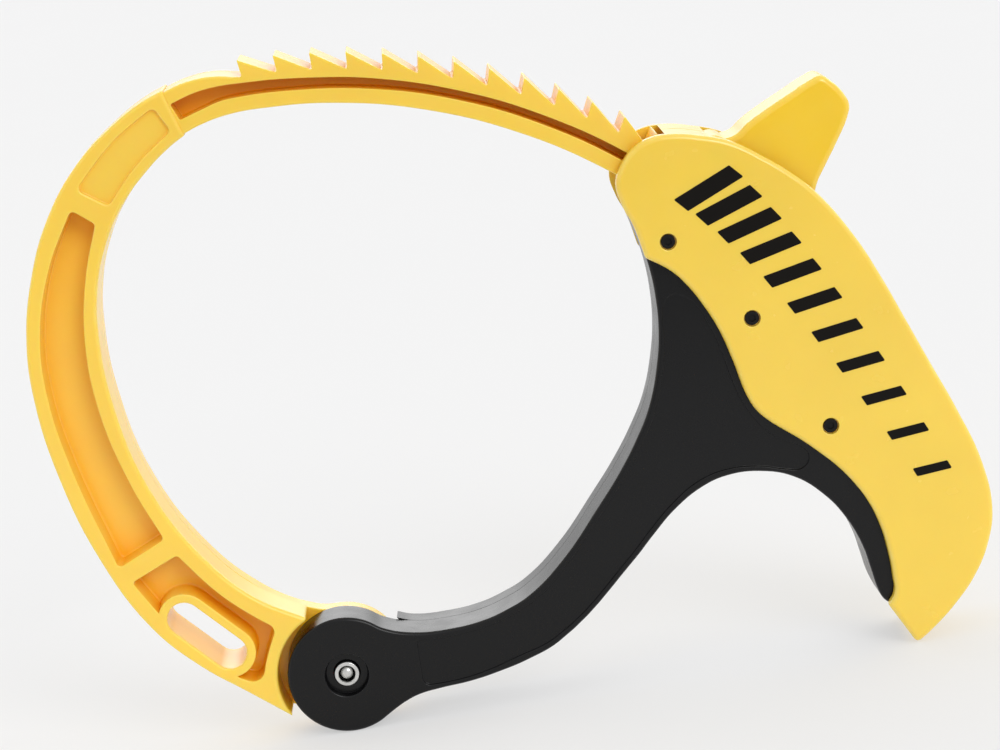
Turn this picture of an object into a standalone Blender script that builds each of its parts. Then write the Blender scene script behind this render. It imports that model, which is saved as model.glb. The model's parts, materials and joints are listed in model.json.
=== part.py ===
"""Ratcheting cable clamp: a toothed C-jaw on a black arm with a covered handle and a thumb lever.

Metres, +Z up, X along the handle, Y through the thickness (front face at -Y).
The clamp stands on the round pivot boss and the tip of the handle.
Outlines are given in millimetres from the jaw pivot, as (x, z) or polar (radius, degrees from +Z
towards +X); every piece is then placed with its origin on PIVOT or on its own axis.
"""
import math

import bmesh
import bpy
from mathutils import Vector

MM = 0.001
PIVOT = Vector((-51.94 * MM, 0.0, 15.2 * MM))   # jaw hinge axis, along Y
GAP = 0.3                                      # between touching solids

# thickness, all measured from the middle plane
JAW_Y = 8.8
FRAME_Y = 9.2
COVER_IN, COVER_OUT = 9.5, 12.3
LAP = 2.0                                      # the front ear ends here, the jaw hub starts behind it
WEB_FRONT, WEB_REAR = -0.5, 1.5                # web left between the jaw's pockets

# ratchet
PITCH = 3.21                                   # degrees per tooth
TEETH = 18
TIP_R, ROOT_R = 158.6, 154.2
FIRST_TIP = -0.3
JAW_END = FIRST_TIP + PITCH * TEETH - 0.2      # where the rail ends inside the handle, degrees

# pivot stack
EAR_R, HUB_R, LAP_R = 15.2, 14.6, 17.5
BORE_R = 3.5
BARREL_R, BARREL_BORE = 3.2, 2.15
RECESS_R, RECESS_FLOOR = 5.6, 6.7

# lever
LEVER_AXIS = (162.3, 43.6)                     # polar
LEVER_Y = 7.5
LEVER_HUB_R, LEVER_BORE, PIN_R = 4.0, 1.6, 1.3
SPRING_ROOM_R, SPRING_ROOM_Y = 4.3, 5.6        # pocket for the spring in the rear of the lever's hub
COIL_R, WIRE_R, COIL_TURNS, COIL_LEG = 2.05, 0.3, 2.5, 2.5
COIL_Y = (6.3, 8.6)
ENGAGE = 11.0                                  # degrees from riding on the tips down into a valley
SCREWS = ((137.6, 44.7), (137.3, 56.7), (138.1, 71.0))   # polar centres of the cover screws
SLOT_A, SLOT_B = (-38.2, 21.3), (-28.3, 10.7)  # end centres of the slot in the jaw
SLOT_R, SLOT_BOSS_R = 4.3, 6.7
THROUGH = 12.5                                 # reaches past either face of every piece
FLUSH = 0.01                                   # keeps joined faces from lying in one plane


# ---------------------------------------------------------------- helpers

def polar(radius, degrees):
    a = math.radians(degrees)
    return (radius * math.sin(a), radius * math.cos(a))


def turn(point, centre, degrees):
    """Turn a front-view point anticlockwise about a centre."""
    a = math.radians(degrees)
    dx, dz = point[0] - centre[0], point[1] - centre[1]
    return (centre[0] + dx * math.cos(a) - dz * math.sin(a),
            centre[1] + dx * math.sin(a) + dz * math.cos(a))


def arc(radius, start, end, steps, centre=(0.0, 0.0)):
    points = [polar(radius, start + (end - start) * i / steps) for i in range(steps + 1)]
    return [(x + centre[0], z + centre[1]) for x, z in points]


def link(obj, cutter=False):
    home = CUTTERS if cutter else bpy.context.scene.collection
    home.objects.link(obj)
    if cutter:
        obj.hide_render = True
        obj.display_type = "WIRE"


def to_mesh(obj, cutter=False):
    """Replace a curve object with its mesh, keeping name and place."""
    bpy.context.view_layer.update()
    graph = bpy.context.evaluated_depsgraph_get()
    mesh = bpy.data.meshes.new_from_object(obj.evaluated_get(graph), depsgraph=graph)
    name, world = obj.name, obj.matrix_world.copy()
    bpy.data.objects.remove(obj)
    bm = bmesh.new()
    bm.from_mesh(mesh)
    bmesh.ops.remove_doubles(bm, verts=bm.verts, dist=0.00001)
    bmesh.ops.dissolve_limit(bm, angle_limit=math.radians(0.2), verts=bm.verts, edges=bm.edges)
    bm.to_mesh(mesh)
    bm.free()
    mesh.name = name
    out = bpy.data.objects.new(name, mesh)
    out.matrix_world = world
    link(out, cutter)
    return out


def plate(name, points, y0, y1, centre=(0.0, 0.0), steps=4, cutter=False, rounding=0.0):
    """A flat plate between y0 and y1 with a front-view outline and, if wanted, rounded edges.

    A point is (x, z) on a smooth curve or (x, z, "C") at a corner.
    """
    data = bpy.data.curves.new(name, "CURVE")
    data.dimensions = "2D"
    data.fill_mode = "BOTH"
    data.extrude = (abs(y1 - y0) / 2 - rounding) * MM
    data.bevel_depth = rounding * MM
    data.bevel_resolution = 1
    data.offset = -rounding * MM
    data.resolution_u = steps
    spline = data.splines.new("BEZIER")
    spline.bezier_points.add(len(points) - 1)
    spline.use_cyclic_u = True
    for knot, point in zip(spline.bezier_points, points):
        knot.co = ((point[0] - centre[0]) * MM, (point[1] - centre[1]) * MM, 0.0)
        kind = "VECTOR" if len(point) == 3 else "AUTO"
        knot.handle_left_type = knot.handle_right_type = kind
    obj = bpy.data.objects.new(name, data)
    obj.rotation_euler = (math.radians(90), 0.0, 0.0)
    obj.location = PIVOT + Vector((centre[0] * MM, (y0 + y1) / 2 * MM, centre[1] * MM))
    link(obj, cutter)
    return to_mesh(obj, cutter)


def rod(name, radius, y0, y1, centre=(0.0, 0.0), sides=32, cutter=False):
    """A cylinder along Y."""
    bpy.ops.mesh.primitive_cylinder_add(
        vertices=sides, radius=radius * MM, depth=abs(y1 - y0) * MM,
        location=PIVOT + Vector((centre[0] * MM, (y0 + y1) / 2 * MM, centre[1] * MM)),
        rotation=(math.radians(90), 0.0, 0.0))
    obj = bpy.context.object
    obj.name = name
    for home in list(obj.users_collection):
        home.objects.unlink(obj)
    link(obj, cutter)
    return obj


def slab(name, y0, y1):
    """A cutter covering the whole front view between y0 and y1."""
    bpy.ops.mesh.primitive_cube_add(size=1.0, location=PIVOT + Vector((0.05, (y0 + y1) / 2 * MM, 0.05)),
                                    scale=(0.5, abs(y1 - y0) * MM, 0.5))
    obj = bpy.context.object
    bpy.ops.object.transform_apply(location=False, rotation=False, scale=True)
    obj.name = name
    for home in list(obj.users_collection):
        home.objects.unlink(obj)
    link(obj, cutter=True)
    return obj


def turned(name, profile, centre=(0.0, 0.0), sides=32, cutter=False):
    """A round piece from (radius, y) pairs, spun about an axis along Y.

    The profile runs with y going up on its outer side and closes on itself.
    """
    mesh = bpy.data.meshes.new(name)
    ring = [(r * MM, 0.0, -y * MM) for r, y in profile]
    edges = [(i, (i + 1) % len(ring)) for i in range(len(ring))]
    if ring[0][0] == 0.0 and ring[-1][0] == 0.0:
        edges.pop()
    mesh.from_pydata(ring, edges, [])
    obj = bpy.data.objects.new(name, mesh)
    obj.rotation_euler = (math.radians(90), 0.0, 0.0)
    obj.location = PIVOT + Vector((centre[0] * MM, 0.0, centre[1] * MM))
    link(obj, cutter)
    spin = obj.modifiers.new("Spin", "SCREW")
    spin.axis = "Z"
    spin.steps = spin.render_steps = sides
    spin.use_merge_vertices = True
    spin.merge_threshold = 0.00001
    return obj


def boolean(obj, tool, operation="DIFFERENCE"):
    mod = obj.modifiers.new(operation.title() + " " + tool.name, "BOOLEAN")
    mod.operation = operation
    mod.solver = "EXACT"
    mod.object = tool


def finish(obj, material, smooth=True):
    obj.data.materials.clear()
    obj.data.materials.append(material)
    if smooth:
        for face in obj.data.polygons:
            face.use_smooth = True
    return obj


def plastic(name, colour, roughness=0.38):
    return shader(name, colour, 0.0, roughness)


def metal(name, colour=(0.62, 0.62, 0.60, 1.0), roughness=0.28):
    return shader(name, colour, 1.0, roughness)


def shader(name, colour, metallic, roughness):
    mat = bpy.data.materials.new(name)
    mat.use_nodes = True
    node = mat.node_tree.nodes["Principled BSDF"]
    node.inputs["Base Color"].default_value = colour
    node.inputs["Metallic"].default_value = metallic
    node.inputs["Roughness"].default_value = roughness
    mat.diffuse_color = colour
    return mat


def cut_through(obj, name, radius, sides, centre=(0.0, 0.0)):
    """Bore a round hole through the whole thickness."""
    boolean(obj, rod(name, radius, -THROUGH, THROUGH, centre, sides, cutter=True))


def stadium(a, b, radius, steps=8):
    """Outline of a slot between two centres."""
    head = math.degrees(math.atan2(b[0] - a[0], b[1] - a[1]))
    return (arc(radius, head + 90, head + 270, steps, a) +
            arc(radius, head - 90, head + 90, steps, b))


# ---------------------------------------------------------------- jaw

def jaw_outline():
    """The C with its teeth, anticlockwise from the lip beside the boss."""
    back = [(-15.7, -8.7, "C"), (-25.4, -0.8), (-36.4, 8.2), (-46.8, 20.1), (-56.5, 40.1),
            (-62.6, 62.2), (-65.1, 83.0), (-64.2, 98.0), (-60.1, 113.3), (-53.5, 127.3),
            (-43.9, 139.5), (-33.6, 147.6), (-25.4, 152.2), (-15.1, 155.4), (-8.0, 155.7),
            polar(ROOT_R, FIRST_TIP + 0.2) + ("C",)]
    # each tooth stands almost radial on its left and slopes down clockwise
    teeth = []
    for i in range(TEETH):
        tip = FIRST_TIP + PITCH * i
        if i:
            teeth.append(polar(ROOT_R, tip + 0.2) + ("C",))
        teeth.append(polar(TIP_R, tip) + ("C",))
    end = [polar(ROOT_R, JAW_END) + ("C",), polar(152.0, JAW_END + 0.6) + ("C",),
           polar(147.0, JAW_END + 0.6) + ("C",), polar(144.6, JAW_END) + ("C",)]
    rail_inside = ([polar(144.6, a) for a in (52, 44, 36)] + [polar(145.0, 27.0), polar(145.5, 17.0)] +
                   [polar(145.8, a) for a in (8, 2)])
    inside = [(-4.6, 145.5), (-12.3, 143.9), (-20.3, 140.1), (-26.9, 135.2), (-34.6, 127.5),
              (-41.0, 117.1), (-44.4, 107.5), (-46.0, 97.0), (-45.8, 80.0), (-40.7, 56.0),
              (-29.2, 34.5), (-19.4, 23.8), (-6.9, 16.0, "C")]
    root = [(-1.0, 14.0, "C"), (4.0, 8.0, "C"), (0.0, -6.0, "C"), (-9.5, -10.9, "C")]
    return back + teeth + end + rail_inside + inside + root


BIG_POCKET = [(-47.2, 128.7, "C"), (-55.3, 114.8), (-60.5, 98.5), (-61.5, 83.5), (-58.9, 64.0),
              (-52.0, 37.2, "C"), (-39.5, 42.7, "C"), (-45.2, 58.0), (-49.6, 78.0),
              (-49.8, 95.5), (-46.7, 111.4), (-41.9, 124.3, "C")]
SMALL_POCKET = [(-37.1, 38.1, "C"), (-49.4, 32.9, "C"), (-44.5, 24.3, "C"), (-25.5, 2.4, "C"),
                (-23.2, 1.7, "C"), (-16.4, 13.0, "C"), (-17.4, 16.4, "C"), (-27.0, 26.4)]
GROOVE = [(-18.8, 150.6, "C"), (-10.7, 152.7), (1.6, 152.8), polar(152.3, 6.0), polar(152.1, 12.0),
          polar(151.6, 20.0), polar(151.1, 28.0), polar(150.7, 37.0), polar(150.4, 46.0),
          polar(150.4, 54.5) + ("C",), polar(148.5, 54.5) + ("C",), polar(148.5, 46.0),
          polar(148.5, 37.0), polar(148.9, 28.0), polar(149.3, 20.0), polar(149.5, 12.0),
          polar(149.5, 4.0), (-2.6, 149.5), (-6.4, 149.2), (-11.6, 147.8), (-17.0, 146.0, "C")]
LABEL = [(-22.8, 150.4, "C"), (-34.0, 143.6), (-45.0, 133.4, "C"), (-37.8, 128.2, "C"),
         (-29.8, 136.6), (-19.6, 144.0, "C")]
LABEL_DEPTH = 0.8


def make_jaw():
    """One moulding: hub, C with pockets from both faces, slot, and the toothed rail."""
    jaw = plate("jaw", jaw_outline(), -JAW_Y, JAW_Y, steps=5)
    hub = rod("jaw hub", HUB_R, LAP + GAP, JAW_Y - FLUSH, sides=56, cutter=True)
    boolean(jaw, hub, "UNION")
    boolean(jaw, rod("ear room", LAP_R, -THROUGH, LAP + GAP, sides=64, cutter=True))
    cut_through(jaw, "jaw bore", BORE_R, 32)
    for side, outer, floor in (("front", -THROUGH, WEB_FRONT), ("rear", THROUGH, WEB_REAR)):
        boolean(jaw, plate(side + " big pocket", BIG_POCKET, outer, floor, cutter=True))
        pocket = plate(side + " small pocket", SMALL_POCKET, outer, floor, cutter=True)
        # the boss round the slot runs past both ends of the pocket that it is left standing in
        boss_in, boss_out = (floor - outer) * 0.3, outer * 0.1
        boolean(pocket, plate(side + " slot boss", stadium(SLOT_A, SLOT_B, SLOT_BOSS_R), outer + boss_out,
                              floor + boss_in, cutter=True))
        boolean(jaw, pocket)
        boolean(jaw, plate(side + " tooth groove", GROOVE, outer, floor, cutter=True))
    boolean(jaw, plate("slot", stadium(SLOT_A, SLOT_B, SLOT_R), -THROUGH, THROUGH, cutter=True))
    boolean(jaw, plate("label recess", LABEL, -THROUGH, LABEL_DEPTH - JAW_Y, cutter=True))
    finish(jaw, plastic("Moulded yellow, jaw", YELLOW))


# ---------------------------------------------------------------- black frame

def frame_outline():
    """Arm, core inside the handle and finger arch, clockwise from the top of the ear."""
    arm_inside = [(6.0, 9.0, "C"), (10.4, 11.1), (18.6, 8.3), (27.6, 7.7), (36.5, 8.5), (42.8, 10.3),
                  (48.9, 13.0), (58.5, 20.6), (69.6, 32.9), (76.5, 41.2), (82.2, 49.4), (86.2, 56.6),
                  (89.9, 67.7), (91.3, 75.0), (91.8, 83.0), (91.3, 91.6), (90.1, 98.0), (88.9, 103.0),
                  polar(143.6, 38.2) + ("C",)]
    channel = arc(143.6, 41.0, 87.0, 14)[:-1] + [polar(143.6, 88.0) + ("C",), polar(157.0, 88.8) + ("C",)]
    tip_core = [(157.4, 0.2), (152.4, -5.1), (148.2, -9.4), (144.6, -13.0, "C"), (139.9, -4.6)]
    arch_edge = [(138.4, -3.0), (137.3, -0.3), (136.2, 5.3), (134.8, 12.0), (131.4, 20.2), (127.1, 26.4),
                 (120.0, 32.5), (111.9, 35.3), (103.4, 35.6), (96.7, 33.7), (89.0, 29.0), (83.0, 23.6),
                 (77.1, 17.8), (55.0, -0.4), (46.5, -3.8), (38.6, -5.8), (31.0, -7.1), (22.8, -7.7),
                 (17.5, -8.4), (14.0, -9.6), (11.2, -11.0), (8.9, -12.2), (4.0, -9.0, "C")]
    return arm_inside + channel + tip_core + arch_edge


def make_frame():
    """One moulding: the ear in front of the jaw's hub, the arm, and the core between the covers."""
    frame = plate("frame", frame_outline(), -FRAME_Y, FRAME_Y, rounding=0.8)
    boolean(frame, rod("ear", EAR_R, -FRAME_Y - FLUSH, LAP, sides=64, cutter=True), "UNION")
    boolean(frame, rod("hub room", LAP_R, LAP, THROUGH, sides=64, cutter=True))
    boolean(frame, rod("ear recess", RECESS_R, -THROUGH, -RECESS_FLOOR, sides=40, cutter=True))
    cut_through(frame, "frame bore", BORE_R, 32)
    for i, at in enumerate(SCREWS):
        cut_through(frame, "frame screw hole %d" % (i + 1), 1.9, 20, polar(*at))
    finish(frame, plastic("Moulded black", BLACK, 0.45))


# ---------------------------------------------------------------- covers

# Outer edge of the handle, then the curved lower edge that shows the black frame below it.
COVER_EDGE = [(90.7, 94.6, "C"), (88.9, 103.0), (86.9, 108.5), (86.1, 113.8), (88.0, 118.4),
              (91.9, 122.3), (95.8, 123.9), (101.2, 124.1), (108.7, 122.5), (115.6, 120.0),
              (123.3, 114.8), (129.3, 109.9), (134.3, 104.8), (142.9, 91.6), (147.9, 81.0),
              (152.6, 69.3), (157.6, 56.7), (162.7, 44.0), (167.4, 29.4), (168.6, 17.0),
              (166.6, 8.5), (162.3, 0.4), (156.5, -6.3), (149.1, -12.6), (145.2, -15.2, "C"),
              (139.2, -4.0, "C"), (141.1, -1.0), (141.3, 3.2), (140.9, 10.4), (139.6, 17.8),
              (137.3, 24.3), (134.0, 30.1), (130.6, 34.6), (127.1, 38.3), (122.4, 42.8),
              (119.0, 45.6), (115.3, 48.8), (112.6, 52.0), (110.8, 56.0), (108.7, 65.0),
              (106.3, 73.5), (103.4, 80.1), (100.1, 85.9), (96.6, 90.2)]


def hollow_outline():
    """What the covers lack inside: mouth for the jaw, lever window, channel and seat for the core.

    The roof is what stays between the mouth and the window, and it ends in an arc round the lever's hub.
    """
    mouth = [(70.0, 100.0, "C"), (70.0, 130.0, "C"), polar(172.0, 38.8) + ("C",)]
    roof = [polar(159.3, 39.1) + ("C",), polar(159.6, 40.5) + ("C",)]
    round_hub = [point + ("C",) for point in
                 arc(LEVER_HUB_R + 0.4, -76.0, -30.0, 5, polar(*LEVER_AXIS))]
    window = [polar(178.0, 42.6) + ("C",), polar(178.0, 54.0) + ("C",), polar(166.6, 54.6) + ("C",)]
    channel = [polar(r, a) for r, a in ((165.6, 60), (164.8, 66), (164.6, 70), (165.4, 75), (166.6, 80),
                                        (166.0, 84), (163.6, 87))]
    seat = [(159.9, 1.0), (154.4, -4.7), (147.7, -10.5), (141.0, -16.0, "C"), (120.0, -20.0, "C"),
            (90.0, 30.0, "C")]
    return mouth + roof + round_hub + window + channel + seat


SPLIT = 0.15                                   # half the gap between the two covers
SCREW_SEAT = {"front": (2.1, 10.9), "rear": (3.4, 10.4)}   # radius and depth sunk for head and nut


def make_cover(side, sign):
    """Half of the handle's shell; sign is the side of the middle plane that it is on."""
    cover = plate("cover_" + side, COVER_EDGE, sign * -2.0, sign * COVER_OUT, rounding=1.2)
    boolean(cover, slab(side + " half", sign * -6.0, sign * SPLIT))
    boolean(cover, plate(side + " cover hollow", hollow_outline(), sign * -1.0, sign * COVER_IN, cutter=True))
    wide, deep = SCREW_SEAT[side]
    for i, at in enumerate(SCREWS):
        centre = polar(*at)
        boolean(cover, rod("%s cover hole %d" % (side, i + 1), 1.5, 0, sign * 14, centre, 20, True))
        boolean(cover, rod("%s cover sink %d" % (side, i + 1), wide, sign * deep, sign * 14, centre, 24, True))
    boolean(cover, rod(side + " pin socket", PIN_R + GAP, sign * 8, sign * 11.3, polar(*LEVER_AXIS), 20, True))
    finish(cover, plastic("Moulded yellow, %s cover" % side, YELLOW))


# ---------------------------------------------------------------- lever

LEVER_EDGE = [(112.2, 120.8), (114.8, 120.3), (117.5, 120.8), (120.3, 122.8), (125.9, 125.8),
              (131.9, 128.6), (137.6, 131.2), (140.3, 131.9), (142.9, 130.0), (145.6, 126.4),
              (146.5, 123.7), (145.8, 121.0), (142.3, 115.0), (138.4, 109.2), (136.2, 105.8),
              (134.6, 101.8, "C"), (128.6, 103.0, "C"), (111.4, 114.8, "C")]
# The pawl where it sits in a tooth valley, polar round the jaw's axis.
PAWL = [(164.0, 51.0), (159.4, 51.0), (155.6, 50.6), (155.75, 50.2), (159.3, 47.4), (164.0, 47.0)]


def make_lever():
    """Thumb lever with its pawl, drawn turned up so that the pawl rides on the tips of the teeth."""
    axis = polar(*LEVER_AXIS)
    pawl = [turn(polar(r, a), axis, ENGAGE) + ("C",) for r, a in PAWL]
    lever = plate("lever", LEVER_EDGE, -LEVER_Y, LEVER_Y, axis, steps=4)
    boolean(lever, plate("pawl", pawl, -LEVER_Y + 0.5, LEVER_Y - 0.5, cutter=True), "UNION")
    boolean(lever, rod("lever hub", LEVER_HUB_R, FLUSH - LEVER_Y, LEVER_Y - FLUSH, axis, 32, True), "UNION")
    cut_through(lever, "lever bore", LEVER_BORE, 20, axis)
    boolean(lever, rod("spring room", SPRING_ROOM_R, SPRING_ROOM_Y, THROUGH, axis, 28, True))
    finish(lever, plastic("Moulded yellow, lever", YELLOW))
    pin = turned("lever_pin", [(0.0, -11.0), (PIN_R - 0.2, -11.0), (PIN_R, -10.8), (PIN_R, 10.8),
                               (PIN_R - 0.2, 11.0), (0.0, 11.0)], axis, 20)
    finish(pin, metal("Bright steel, lever pin"))


def spring_path(start=200.0, steps=35):
    """Centre line of the torsion spring round the lever's axis, with a short tangent leg at each end."""
    near, far = COIL_Y
    path = []
    for i in range(steps + 1):
        a = math.radians(start + 360 * COIL_TURNS * i / steps)
        path.append((COIL_R * math.cos(a), near + (far - near) * i / steps, COIL_R * math.sin(a)))
    first, last = math.radians(start), math.radians(start + 360 * COIL_TURNS)
    leg_in = (path[0][0] + COIL_LEG * math.sin(first), near, path[0][2] - COIL_LEG * math.cos(first))
    leg_out = (path[-1][0] - COIL_LEG * math.sin(last), far, path[-1][2] + COIL_LEG * math.cos(last))
    return [leg_in] + path + [leg_out]


def make_spring():
    """Torsion spring round the lever's pin, inside the pocket in the hub."""
    axis = polar(*LEVER_AXIS)
    wire = bpy.data.curves.new("lever_spring", "CURVE")
    wire.dimensions = "3D"
    wire.bevel_depth = WIRE_R * MM
    wire.bevel_resolution = 1
    wire.use_fill_caps = True
    coil = wire.splines.new("POLY")
    path = spring_path()
    coil.points.add(len(path) - 1)
    for knot, (x, y, z) in zip(coil.points, path):
        knot.co = (x * MM, y * MM, z * MM, 1.0)
    spring = bpy.data.objects.new("lever_spring", wire)
    spring.location = PIVOT + Vector((axis[0] * MM, 0.0, axis[1] * MM))
    link(spring)
    finish(to_mesh(spring), metal("Spring steel", (0.45, 0.45, 0.46, 1.0), 0.35))


# ---------------------------------------------------------------- pivot and cover hardware

def make_pivot_hardware():
    """Barrel that the jaw turns on, with a screw through it and a washer under the screw's head."""
    barrel = turned("pivot_barrel", [(BARREL_BORE, -8.2), (BARREL_R - 0.3, -8.2), (BARREL_R, -7.9),
                                     (BARREL_R, 9.4), (BARREL_BORE, 9.4)], sides=32)
    finish(barrel, metal("Bright steel, barrel", roughness=0.2))
    washer = turned("pivot_washer", [(BORE_R, 9.1), (6.6, 9.1), (6.8, 9.3), (6.8, 9.9), (6.6, 10.1),
                                     (BORE_R, 10.1)], sides=32)
    finish(washer, metal("Bright steel, washer"))
    screw = turned("pivot_screw", [(0.0, -7.7), (0.9, -7.5), (1.5, -6.9), (1.7, -6.2), (1.7, 10.4),
                                   (5.4, 10.4), (5.4, 11.4), (4.6, 12.3), (2.2, 12.3), (2.2, 11.2),
                                   (0.0, 11.2)], sides=32)
    finish(screw, metal("Bright steel, pivot screw", roughness=0.22))


def make_cover_hardware():
    """Three screws through the covers, each in a nut at the rear."""
    for i, at in enumerate(SCREWS):
        centre = polar(*at)
        bolt = turned("cover_screw_%d" % (i + 1),
                      [(0.0, -11.1), (0.75, -11.1), (0.75, -11.7), (1.6, -11.7), (1.8, -11.5),
                       (1.8, -11.2), (1.2, -11.2), (1.2, 12.0), (0.0, 12.0)], centre, 20)
        finish(bolt, metal("Black screw %d" % (i + 1), (0.02, 0.02, 0.02, 1.0), 0.4))
        nut = turned("cover_nut_%d" % (i + 1), [(1.5, 10.7), (2.9, 10.7), (3.05, 10.9), (3.05, 11.9),
                                                (2.9, 12.1), (1.5, 12.1)], centre, 6)
        finish(nut, metal("Bright steel, nut %d" % (i + 1)), smooth=False)


for old in list(bpy.data.objects):
    bpy.data.objects.remove(old)
CUTTERS = bpy.data.collections.new("Cutters")
bpy.context.scene.collection.children.link(CUTTERS)

YELLOW = (0.86, 0.58, 0.06, 1.0)
BLACK = (0.018, 0.018, 0.019, 1.0)

make_jaw()
make_frame()
make_cover("front", -1)
make_cover("rear", 1)
make_lever()
make_spring()
make_pivot_hardware()
make_cover_hardware()
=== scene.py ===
"""Studio scene of a ratcheting cable clamp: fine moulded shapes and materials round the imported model.

Outlines are in millimetres from the jaw pivot in the front view, as (x, z), or polar: a radius and
degrees from +Z towards +X. A third number makes a point a corner with that radius. Depths are
millimetres along +Y from the middle plane, so the front face is at a negative y.
"""

import json
import math

import bmesh
import bpy
from mathutils import Matrix, Vector


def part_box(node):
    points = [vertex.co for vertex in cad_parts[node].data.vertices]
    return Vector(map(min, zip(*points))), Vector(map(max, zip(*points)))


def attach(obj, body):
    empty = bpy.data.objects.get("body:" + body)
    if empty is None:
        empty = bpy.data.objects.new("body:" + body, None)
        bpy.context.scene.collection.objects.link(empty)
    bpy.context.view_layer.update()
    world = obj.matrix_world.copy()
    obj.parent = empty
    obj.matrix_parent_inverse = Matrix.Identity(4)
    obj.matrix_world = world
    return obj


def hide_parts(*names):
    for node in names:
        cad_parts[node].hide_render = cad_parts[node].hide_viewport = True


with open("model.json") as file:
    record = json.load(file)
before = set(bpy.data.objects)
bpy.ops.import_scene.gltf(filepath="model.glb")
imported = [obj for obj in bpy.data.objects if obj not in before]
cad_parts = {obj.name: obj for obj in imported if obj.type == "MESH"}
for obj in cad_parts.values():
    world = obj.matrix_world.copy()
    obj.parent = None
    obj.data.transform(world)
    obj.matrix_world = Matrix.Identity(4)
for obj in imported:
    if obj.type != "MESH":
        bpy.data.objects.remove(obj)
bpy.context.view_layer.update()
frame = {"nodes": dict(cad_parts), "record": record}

MM = 0.001
JOINTS = {joint["name"]: joint for joint in frame["record"]["behaviour"]["joints"]}
PIVOT = Vector(JOINTS["jaw_pivot"]["pos_m"])
LEVER_WORLD = Vector(JOINTS["lever_pivot"]["pos_m"])
LEVER_AT = ((LEVER_WORLD.x - PIVOT.x) / MM, (LEVER_WORLD.z - PIVOT.z) / MM)

# depths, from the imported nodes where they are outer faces
JAW_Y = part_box("jaw")[1][1] / MM
FRAME_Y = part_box("frame")[1][1] / MM
COVER_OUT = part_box("cover_rear")[1][1] / MM
LEVER_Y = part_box("lever")[1][1] / MM
COVER_IN = 9.5               # inner face of the covers
THROUGH = 12.0               # a tool that reaches this deep cuts right through
LAP = 2.0                    # back of the front ear
JAW_PART = 2.3               # front of the jaw's hub and mould parting line of the jaw
RAIL_Y = JAW_Y - 0.6         # the toothed rail is a little thinner than the rest of the jaw
WEB_FRONT, WEB_REAR = -0.5, 1.5    # the web between the front and rear pockets

# radii about the jaw pivot, the ratchet's teeth in degrees, and the screws as (radius, degrees)
EAR_R, HUB_R, LAP_R, BORE_R = 15.2, 14.6, 17.5, 3.5
PITCH, TEETH, TIP_R, ROOT_R, FIRST_TIP = 3.21, 18, 158.6, 154.2, -0.3
JAW_END = FIRST_TIP + PITCH * TEETH - 0.2
RAIL_IN, CORE_R = 144.6, 143.6
SCREWS = ((137.6, 44.7), (137.3, 56.7), (138.1, 71.0))
SCREW_HOLE_R, PIN_HOLE_R = 1.9, 1.6

# edge rounding, then the draft of a wall and the groove and lap where its two halves meet
JAW_ROUND, RAIL_ROUND, FRAME_ROUND, COVER_ROUND, LEVER_ROUND = 1.0, 0.5, 0.9, 1.4, 1.6
DRAFT, PARTING, OVERLAP = 0.1, 0.15, 0.06

# how meshes are made
AUTO_HANDLE = 2.5614         # makes a curve through points run like Blender's automatic handles
SAME = 0.0001 * MM           # points of one ring nearer to each other than this are one point
WELD = 0.002 * MM            # points of a finished mesh nearer to each other than this become one
COPLANAR = 0.05              # degrees between faces that merge into one
SHARP = 32.0                 # degrees from which an edge is shaded sharp
FLAT = 0.9999                # a face counts as flat when its normal is this close to the Y axis


# ---------------------------------------------------------------- outlines

def polar(radius, degrees, *corner):
    """A point from its radius and angle, with the radius of its corner if it is one."""
    a = math.radians(degrees)
    return (radius * math.sin(a), radius * math.cos(a)) + corner


def arc(radius, start, end, steps, centre=(0.0, 0.0)):
    """Points on an arc from start to end degrees, both included."""
    points = [polar(radius, start + (end - start) * i / steps) for i in range(steps + 1)]
    return [(x + centre[0], z + centre[1]) for x, z in points]


def bezier(a, b, c, d, t):
    """The point at t, 0 to 1, on a cubic curve from a to d."""
    s = 1.0 - t
    return a * s ** 3 + b * (3 * s * s * t) + c * (3 * s * t * t) + d * t ** 3


def along(loop, start, step, distance):
    """Walk from a vertex along the loop: (point reached, direction there, vertices passed)."""
    count, here, passed = len(loop), start, 0
    while True:
        a, b = loop[here], loop[(here + step) % count]
        length = (b - a).length
        if distance <= length:
            return a + (b - a) * (distance / length), (b - a).normalized(), passed
        distance -= length
        here = (here + step) % count
        passed += 1


def soften(loop, corners, steps=6):
    """Round each corner of a loop, given as {vertex: radius}."""
    count, dropped, bends = len(loop), set(), {}
    for i, radius in corners.items():
        if radius <= 0.0:
            continue
        way_in = (loop[i] - loop[i - 1]).normalized()
        way_out = (loop[(i + 1) % count] - loop[i]).normalized()
        turn = way_in.angle(way_out)
        reach = radius * math.tan(turn / 2)
        start, back, passed_back = along(loop, i, -1, reach)
        end, ahead, passed_ahead = along(loop, i, 1, reach)
        handle = radius * 4 / 3 * math.tan(turn / 4)
        bends[i] = [bezier(start, start - back * handle, end - ahead * handle, end, k / steps)
                    for k in range(steps + 1)]
        dropped.update((i - k) % count for k in range(1, passed_back + 1))
        dropped.update((i + k) % count for k in range(1, passed_ahead + 1))
    out = []
    for i in range(count):
        if i in bends:
            out += bends[i]
        elif i not in dropped:
            out.append(loop[i])
    return out


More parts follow.
